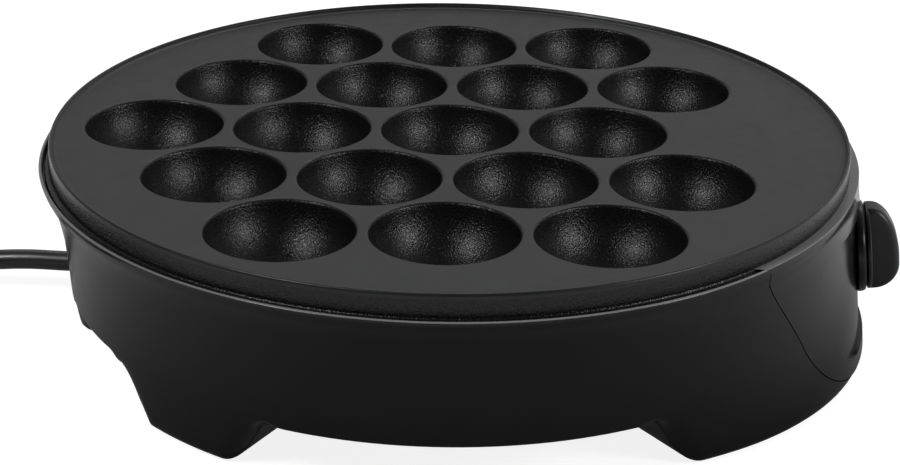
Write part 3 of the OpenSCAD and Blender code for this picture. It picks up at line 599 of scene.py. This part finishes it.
def base_mesh():
    bm = bmesh.new()
    rows = base_rows()
    turns = sectors()
    rings = turned_form(bm, rows, turns, True)
    shape_rings(rings, rows, turns, True)
    bmesh.ops.remove_doubles(bm, verts=bm.verts, dist=0.001 * MM)
    bmesh.ops.recalc_face_normals(bm, faces=bm.faces)
    return bm


def layer(front, back, low, high, half):
    """A closed layer between two depths under the base's outer surface, round the bulge."""
    heights = [low + (high - low) * i / 26 for i in range(27)]
    rows = [lambda t, h=h: (outer_reach(t, min(h, RIM_H)) - front, h) for h in heights]
    rows += [lambda t, h=h: (outer_reach(t, min(h, RIM_H)) - back, h) for h in reversed(heights)]
    turns = [-half + 2 * half * i / 96 for i in range(97)]
    bm = bmesh.new()
    rings = turned_form(bm, rows, turns, False)
    shape_rings(rings, rows, turns, False)
    bmesh.ops.holes_fill(bm, edges=[e for e in bm.edges if e.is_boundary], sides=0)
    bmesh.ops.recalc_face_normals(bm, faces=bm.faces)
    return bm


def prism(points):
    """A block along X whose outline is seen from the front."""
    bm = bmesh.new()
    face = bm.faces.new([bm.verts.new((70 * MM, y * MM, h * MM)) for y, h in points])
    made = bmesh.ops.extrude_face_region(bm, geom=[face])
    verts = [g for g in made["geom"] if isinstance(g, bmesh.types.BMVert)]
    bmesh.ops.translate(bm, verts=verts, vec=(70 * MM, 0, 0))
    bmesh.ops.recalc_face_normals(bm, faces=bm.faces)
    return bm


def mirrored(half):
    """Adds the other side to the right half of an outline, which runs from its top to its foot."""
    return half + [(-y, h) for y, h in reversed(half)]


def panel_outline(grow):
    """The shield shape: sides that flare up to the rim from a round foot."""
    foot = arc((24, 35.1), 33.5 + grow, -26, -90, 14)
    (low_y, low_h), top_y, top_h = foot[0], 75.2 + grow, RIM_H + 1
    side = []
    for i in range(14):
        t = 1 - i / 14
        side.append((low_y + (top_y - low_y) * (0.62 * t + 0.38 * t * t), low_h + (top_h - low_h) * t))
    return mirrored(side + foot)


def pocket_outline():
    """The recess round the knob, wide at the top."""
    return mirrored(arc((40.3, 37), 7, 90, -22, 12) + arc((23, 23.5), 18, -22, -90, 14))


def scratch(bm, name):
    mesh = bpy.data.meshes.new(name)
    bm.to_mesh(mesh)
    bm.free()
    obj = bpy.data.objects.new(name, mesh)
    bpy.context.scene.collection.objects.link(obj)
    return obj


def carve(obj, tool, how):
    """Cuts a mesh by another, for good, and deletes the tool."""
    cut = obj.modifiers.new("cut", "BOOLEAN")
    cut.operation = how
    cut.solver = "EXACT"
    cut.object = tool
    done = bpy.data.meshes.new_from_object(obj.evaluated_get(bpy.context.evaluated_depsgraph_get()))
    obj.modifiers.clear()
    obj.data = done
    bpy.data.objects.remove(tool)
    return obj


def as_bmesh(obj):
    """Takes a scratch object's mesh out of the scene."""
    bm = bmesh.new()
    bm.from_mesh(obj.data)
    bpy.data.objects.remove(obj)
    return bm


def base_shell():
    shell = scratch(base_mesh(), "shell_form")
    hole = carve(scratch(layer(-2, 4.6, 1.3, RIM_H + 0.8, 60), "panel_hole"),
                 scratch(prism(panel_outline(0.3)), "panel_block"), "INTERSECT")
    carve(shell, hole, "DIFFERENCE")
    bm = as_bmesh(shell)
    piece("shell", bm, "shell_plastic", "base", ["base_shell"], smooth=32)


def control_panel():
    panel = carve(scratch(layer(0, 4.3, 1.6, RIM_H, 58), "panel_form"),
                  scratch(prism(panel_outline(0)), "panel_block"), "INTERSECT")
    pocket = carve(scratch(layer(-2, POCKET_DEPTH, 3, 44, 40), "pocket_form"),
                   scratch(prism(pocket_outline()), "pocket_block"), "INTERSECT")
    carve(panel, pocket, "DIFFERENCE")
    bm = as_bmesh(panel)
    piece("panel", bm, "panel_plastic", "base", ["control_panel"], smooth=32)


base_shell()
control_panel()


# ---- Knob ----

def on_knob_axis(bm):
    """Lays a mesh made along Z on the knob's axis; its height counts from the panel's surface."""
    turn = Matrix.Rotation(pi / 2 - NOSE_TILT, 4, "Y")
    bmesh.ops.transform(bm, matrix=Matrix.Translation(Vector((KNOB_X, 0, KNOB_H)) * MM) @ turn,
                        verts=bm.verts)


def knob_bezel():
    """The fixed ring, with a groove in front of it that the knob turns over."""
    top = BEZEL_T - POCKET_DEPTH
    bm = bmesh.new()
    ring = [(3.3, -POCKET_DEPTH), (13.1, -POCKET_DEPTH), (13.1, -0.3), (13.0, 0.4), (12.75, 0.85)]
    ring += [(12.35, top), (11.9, top - 0.05), (11.6, top - 0.4), (3.3, top - 0.4), (3.3, -POCKET_DEPTH)]
    lathe(bm, ring, 120)
    bmesh.ops.recalc_face_normals(bm, faces=bm.faces)
    on_knob_axis(bm)
    piece("bezel", bm, "bezel_plastic", "base", ["knob_bezel"])


def grip_outline():
    """The grip from its side: across the knob, and out along its axis, with two rounded corners."""
    end, base = KNOB_START + GRIP_LEN, KNOB_START + 0.6
    high_r, high_out, low_r, low_out = 15, 7.8, 7.5, 7.2
    points = [(-KNOB_R, base)]
    for i in range(13):
        a = radians(90 * i / 12)
        points.append((-KNOB_R + high_r * (1 - cos(a)), end - high_out * (1 - sin(a))))
    for i in range(12, -1, -1):
        a = radians(90 * i / 12)
        points.append((KNOB_R - low_r * (1 - cos(a)), end - low_out * (1 - sin(a))))
    return points + [(KNOB_R, base)]


def control_knob():
    """A thin round flange with a thick grip across it."""
    start, half = KNOB_START, GRIP_W / 2
    bm = bmesh.new()
    lathe(bm, [(0, start), (12.0, start), (12.3, start + 0.12), (12.4, start + 0.5), (12.3, start + 0.95),
               (12.0, start + 1.15), (0, start + 1.2)], 120)
    face = bm.faces.new([bm.verts.new((u * MM, -half * MM, w * MM)) for u, w in grip_outline()])
    made = bmesh.ops.extrude_face_region(bm, geom=[face])
    verts = [g for g in made["geom"] if isinstance(g, bmesh.types.BMVert)]
    bmesh.ops.translate(bm, verts=verts, vec=(0, 2 * half * MM, 0))
    bmesh.ops.recalc_face_normals(bm, faces=bm.faces)
    rims = [e for e in bm.edges if len(e.link_faces) == 2 and e.calc_face_angle() > radians(60)
            and all(abs(abs(v.co.y) - half * MM) < 1e-6 for v in e.verts)
            and max(v.co.z for v in e.verts) > (start + 1) * MM]
    bmesh.ops.bevel(bm, geom=rims, offset=1.8 * MM, offset_type="OFFSET", segments=6, profile=0.5,
                    affect="EDGES", clamp_overlap=True, material=-1)
    sides = [f for f in bm.faces if abs(f.normal.y) > 0.999 and f.calc_area() > 60 * MM * MM]
    bmesh.ops.inset_region(bm, faces=sides, thickness=0.3 * MM, use_even_offset=True)
    on_knob_axis(bm)
    piece("knob", bm, "knob_plastic", "knob", ["control_knob"], smooth=35)


knob_bezel()
control_knob()


# ---- Mains lead ----

LEAD = [
    (0, 10), (3, 10), (6, 10), (11, 10), (16, 9.8), (21, 9.4), (26, 8.8), (31, 8), (36, 7.1),
    (41, 6.1), (46, 5.2), (51, 4.4), (55, 3.8), (59, 3.4), (63, 3.1), (66, 3), (69, 3)
]
COIL_TURNS = 2.4
COIL_INNER_R = 25
COIL_PITCH = 7.6
COIL_OUTER_R = COIL_INNER_R + COIL_PITCH * COIL_TURNS
LAYER_RISE = 7.4
STEPS_PER_TURN = 24
LAYER_STEPS = round(COIL_TURNS * STEPS_PER_TURN)
CLIMB_STEPS = STEPS_PER_TURN // 2
LEAD_START_X = AXIS_X - BOOT_TIP_R
COIL_X = LEAD_START_X - LEAD[-1][0] - 2 * CORD_R
COIL_Y = -COIL_OUTER_R


def coil_point(i):
    turn = radians(90 + 360 * i / STEPS_PER_TURN)
    if i <= LAYER_STEPS:
        r = COIL_OUTER_R - COIL_PITCH * i / STEPS_PER_TURN
    elif i <= LAYER_STEPS + CLIMB_STEPS:
        r = COIL_INNER_R
    else:
        r = COIL_INNER_R + COIL_PITCH * (i - LAYER_STEPS - CLIMB_STEPS) / STEPS_PER_TURN
    rise = smooth_step((i - LAYER_STEPS) / CLIMB_STEPS)
    return Vector((COIL_X + r * cos(turn), COIL_Y + r * sin(turn), CORD_R + LAYER_RISE * rise))


def cord_route():
    """The lead's whole line: out of the boot, down to the table, in and out of the coil."""
    last = 2 * LAYER_STEPS + CLIMB_STEPS
    turn = radians(90 + 360 * last / STEPS_PER_TURN)
    out = Vector((-sin(turn), cos(turn), 0))
    points = [Vector((LEAD_START_X - x, 0, h)) for x, h in LEAD]
    points += [coil_point(i) for i in range(last + 1)]
    points.append(coil_point(last) + out * 2 * CORD_R)
    return points, out


def mains_lead():
    points, out = cord_route()
    curve = bpy.data.curves.new("lead", "CURVE")
    curve.dimensions = "3D"
    curve.bevel_depth = CORD_R * MM
    curve.bevel_resolution = 5
    curve.resolution_u = 3
    curve.use_fill_caps = True
    line = curve.splines.new("BEZIER")
    line.bezier_points.add(len(points) - 1)
    for knot, point in zip(line.bezier_points, points):
        knot.co = point * MM
        knot.handle_left_type = knot.handle_right_type = "AUTO"
    lead = bpy.data.objects.new("lead", curve)
    bpy.context.scene.collection.objects.link(lead)
    curve.materials.append(FINISHES["cord_rubber"])
    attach(lead, "base")
    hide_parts("cord_lead", "cord_coil")
    length = line.calc_length()
    return lead, points[0] * MM, length, points[-1], out


def along(bm, start, out):
    """Lays a mesh made along Z from a point in a direction."""
    turn = out.to_track_quat("Z", "Y").to_matrix().to_4x4()
    bmesh.ops.transform(bm, matrix=Matrix.Translation(start * MM) @ turn, verts=bm.verts)


def boot_profile(length, thick, thin, ribs):
    """A tapered strain relief with grooves near its tip."""
    points = [(0, 0), (thick / 2, 0)]
    rib = length / (2 * ribs + 1)
    for i in range(ribs):
        at = rib * (2 * i + 1)
        wide = thick + (thin - thick) * at / length
        points += [(wide / 2, at - 0.3), (wide / 2, at), (wide / 2 - 0.7, at + 0.25)]
        points += [(wide / 2 - 0.7, at + rib - 0.25), (wide / 2 - 0.15, at + rib)]
    points += [(thin / 2, length - 0.4), (thin / 2 - 0.3, length), (0, length)]
    return points


def cord_boot():
    bm = bmesh.new()
    lathe(bm, boot_profile(BOOT_LEN, 10, 6.6, 5), 64)
    along(bm, Vector((AXIS_X - BOOT_TIP_R + BOOT_LEN, 0, CORD_H)), Vector((-1, 0, 0)))
    place("boot", bm, "rubber", "base", ["cord_boot"])


def mains_plug(start, out):
    """Plug on the lead's end: boot, body with a waist for the fingers, two pins."""
    bm = bmesh.new()
    lathe(bm, boot_profile(PLUG_BOOT_LEN, 7, 10, 5), 48)
    along(bm, start, out)
    boot = place("plug_boot_ribs", bm, "rubber", "base", ["plug_boot"])
    bm = bmesh.new()
    half_h = start.z
    profile = [(0, 7), (6, 8.6), (12, 12.4), (15, 13), (20, 12.2), (27, 12.2), (32, 13), (PLUG_LEN, 13)]
    outline = [(x, y) for x, y in profile] + [(x, -y) for x, y in reversed(profile)]
    face = bm.faces.new([bm.verts.new((x * MM, y * MM, (-half_h + 1.5) * MM)) for x, y in outline])
    made = bmesh.ops.extrude_face_region(bm, geom=[face])
    verts = [g for g in made["geom"] if isinstance(g, bmesh.types.BMVert)]
    bmesh.ops.translate(bm, verts=verts, vec=(0, 0, (2 * half_h - 3) * MM))
    bmesh.ops.recalc_face_normals(bm, faces=bm.faces)
    round_edges(bm, 2.2, 4, 60)
    turn = Matrix.Rotation(atan2(out.y, out.x), 4, "Z")
    to_plug = Matrix.Translation((start + out * PLUG_BOOT_LEN) * MM)
    bmesh.ops.transform(bm, matrix=to_plug @ turn, verts=bm.verts)
    body = place("plug", bm, "rubber", "base", ["plug_body"])
    bm = bmesh.new()
    across = Vector((-out.y, out.x, 0))
    for side in (-1, 1):
        pin = bmesh.new()
        lathe(pin, [(0, 0), (2.4, 0), (2.4, 17), (2.2, 18.2), (1.5, 18.9), (0, 19)], 32)
        along(pin, start + out * (PLUG_BOOT_LEN + PLUG_LEN) + across * PIN_GAP / 2 * side, out)
        mesh = bpy.data.meshes.new("pin")
        pin.to_mesh(mesh)
        pin.free()
        bm.from_mesh(mesh)
    pins = place("pins", bm, "brass", "base", ["plug_pins"])
    return [boot, body, pins]


def lead_and_plug():
    lead, start, length, end, out = mains_lead()
    on_it = mains_plug(end, out)


cord_boot()
lead_and_plug()


# ---- Floor and light ----

TABLE_GLOW = 0.86
# Painted shadow seen in reflections of the table: its glow close to the cooker, and the distances where
# that shade ends and the open table starts.
TABLE_SHADE_GLOW = 0.05
SHADE_END = 0.11
OPEN_START = 0.24


def table_top():
    """A white table that keeps its shadow; reflections find it darkened close to the cooker by a painted
    shadow.
    """
    mat = bpy.data.materials.new("table")
    mat.use_nodes = True
    nodes, links = mat.node_tree.nodes, mat.node_tree.links
    shader = nodes["Principled BSDF"]
    shader.inputs["Roughness"].default_value = 0.9
    shader.inputs["Specular IOR Level"].default_value = 0.0
    shader.inputs["Emission Color"].default_value = (1, 1, 1, 1)
    rays = nodes.new("ShaderNodeLightPath")
    seen = rays.outputs["Is Camera Ray"]
    for name in ("Is Glossy Ray", "Is Transmission Ray"):
        either = nodes.new("ShaderNodeMath")
        either.operation = "MAXIMUM"
        links.new(seen, either.inputs[0])
        links.new(rays.outputs[name], either.inputs[1])
        seen = either.outputs["Value"]
    where = nodes.new("ShaderNodeTexCoord")
    away = nodes.new("ShaderNodeVectorMath")
    away.operation = "LENGTH"
    links.new(where.outputs["Object"], away.inputs[0])
    # Painted shadow: for reflected rays the table's glow drops with distance from its middle, dim close to
    # the cooker.
    painted_shadow_ramp = nodes.new("ShaderNodeMapRange")
    painted_shadow_ramp.interpolation_type = "SMOOTHSTEP"
    painted_shadow_ramp.inputs["From Min"].default_value = SHADE_END
    painted_shadow_ramp.inputs["From Max"].default_value = OPEN_START
    painted_shadow_ramp.inputs["To Min"].default_value = TABLE_SHADE_GLOW
    painted_shadow_ramp.inputs["To Max"].default_value = TABLE_GLOW
    links.new(away.outputs["Value"], painted_shadow_ramp.inputs["Value"])
    direct = nodes.new("ShaderNodeMath")
    direct.operation = "MULTIPLY"
    direct.inputs[1].default_value = TABLE_GLOW
    links.new(rays.outputs["Is Camera Ray"], direct.inputs[0])
    level = nodes.new("ShaderNodeMath")
    level.operation = "MAXIMUM"
    links.new(direct.outputs["Value"], level.inputs[0])
    links.new(painted_shadow_ramp.outputs["Result"], level.inputs[1])
    glow = nodes.new("ShaderNodeMath")
    glow.operation = "MULTIPLY"
    links.new(level.outputs["Value"], glow.inputs[1])
    links.new(seen, glow.inputs[0])
    links.new(glow.outputs["Value"], shader.inputs["Emission Strength"])
    tint = nodes.new("ShaderNodeMix")
    tint.data_type = "RGBA"
    tint.inputs["A"].default_value = (0.9, 0.9, 0.9, 1)
    tint.inputs["B"].default_value = (0.3, 0.3, 0.3, 1)
    links.new(seen, tint.inputs["Factor"])
    links.new(tint.outputs["Result"], shader.inputs["Base Color"])
    bm = bmesh.new()
    bmesh.ops.create_grid(bm, x_segments=1, y_segments=1, size=6)
    mesh = bpy.data.meshes.new("table")
    bm.to_mesh(mesh)
    bm.free()
    obj = bpy.data.objects.new("table", mesh)
    bpy.context.scene.collection.objects.link(obj)
    obj.data.materials.append(mat)


def soft_box(name, at, aim, size, power):
    data = bpy.data.lights.new(name, "AREA")
    data.shape = "RECTANGLE"
    data.size, data.size_y = size
    data.energy = power
    light = bpy.data.objects.new(name, data)
    light.location = at
    light.rotation_euler = (Vector(aim) - Vector(at)).to_track_quat("-Z", "Y").to_euler()
    bpy.context.scene.collection.objects.link(light)


def surroundings():
    """A pale studio wall behind, brighter to the right, and a dim room behind the camera."""
    world = bpy.data.worlds.new("room")
    bpy.context.scene.world = world
    world.use_nodes = True
    nodes, links = world.node_tree.nodes, world.node_tree.links
    back = nodes["Background"]
    where = nodes.new("ShaderNodeTexCoord")
    split = nodes.new("ShaderNodeSeparateXYZ")
    links.new(where.outputs["Generated"], split.inputs[0])

    def ranged(source, start, end, low, high):
        node = nodes.new("ShaderNodeMapRange")
        node.inputs["From Min"].default_value = start
        node.inputs["From Max"].default_value = end
        node.inputs["To Min"].default_value = low
        node.inputs["To Max"].default_value = high
        links.new(source, node.inputs["Value"])
        return node.outputs["Result"]

    sides = nodes.new("ShaderNodeMath")
    sides.operation = "MULTIPLY"
    links.new(ranged(split.outputs["Y"], -0.4, 0.6, 0.08, 0.46), sides.inputs[0])
    links.new(ranged(split.outputs["X"], -0.2, 0.7, 0.85, 1.6), sides.inputs[1])
    links.new(sides.outputs["Value"], back.inputs["Strength"])
    back.inputs["Color"].default_value = (1, 1, 1, 1)


table_top()
surroundings()
soft_box("left_box", (-0.64, -0.565, 0.885), (0, 0, 0.04), (0.28, 0.28), 7.5)
soft_box("right_box", (1.01, -0.386, 0.56), (0, 0, 0.04), (0.28, 0.28), 7)
soft_box("back_box", (0.1, 1.1, 1.15), (0, 0, 0.04), (1.8, 0.12), 5)
bpy.context.scene.view_settings.view_transform = "Standard"
